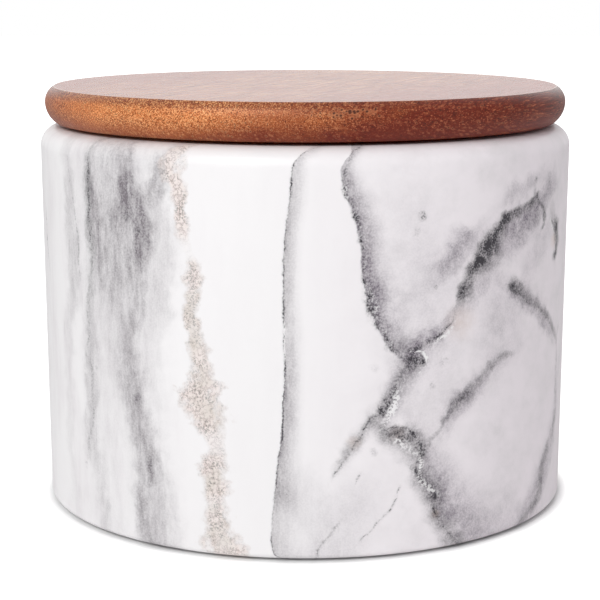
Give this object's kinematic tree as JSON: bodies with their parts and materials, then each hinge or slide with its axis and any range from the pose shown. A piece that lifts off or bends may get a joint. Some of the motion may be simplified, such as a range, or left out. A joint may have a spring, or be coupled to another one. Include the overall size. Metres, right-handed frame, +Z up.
{
  "type": "storage canister",
  "caption": "Round marble storage pot with a straight bore, closed by a turned wooden lid whose plug and silicone seal fit the mouth.",
  "frame": {"origin": "on the canister's axis, in the plane of the foot pads' undersides", "axes": "+Z up along the axis of the pot and the lid; the picture looks along +Y, with +X to its right"},
  "size_m": [0.1269, 0.127, 0.0993],
  "materials": {
    "marble": "polished",
    "lid_wood": "oiled",
    "plug_wood": "oiled",
    "silicone": "satin",
    "pad_foam": "matte"
  },
  "bodies": {
    "pot": {"marble_body": "marble", "foot_pads": "pad_foam"},
    "lid": {"lid_board": "lid_wood", "lid_plug": "plug_wood", "seal_ring": "silicone"}
  },
  "joints": [
    {"name": "lid_lift", "type": "slide", "parent": "pot", "child": "lid", "axis": [0, 0, 1], "range_m": [0, 0.12]}
  ]
}
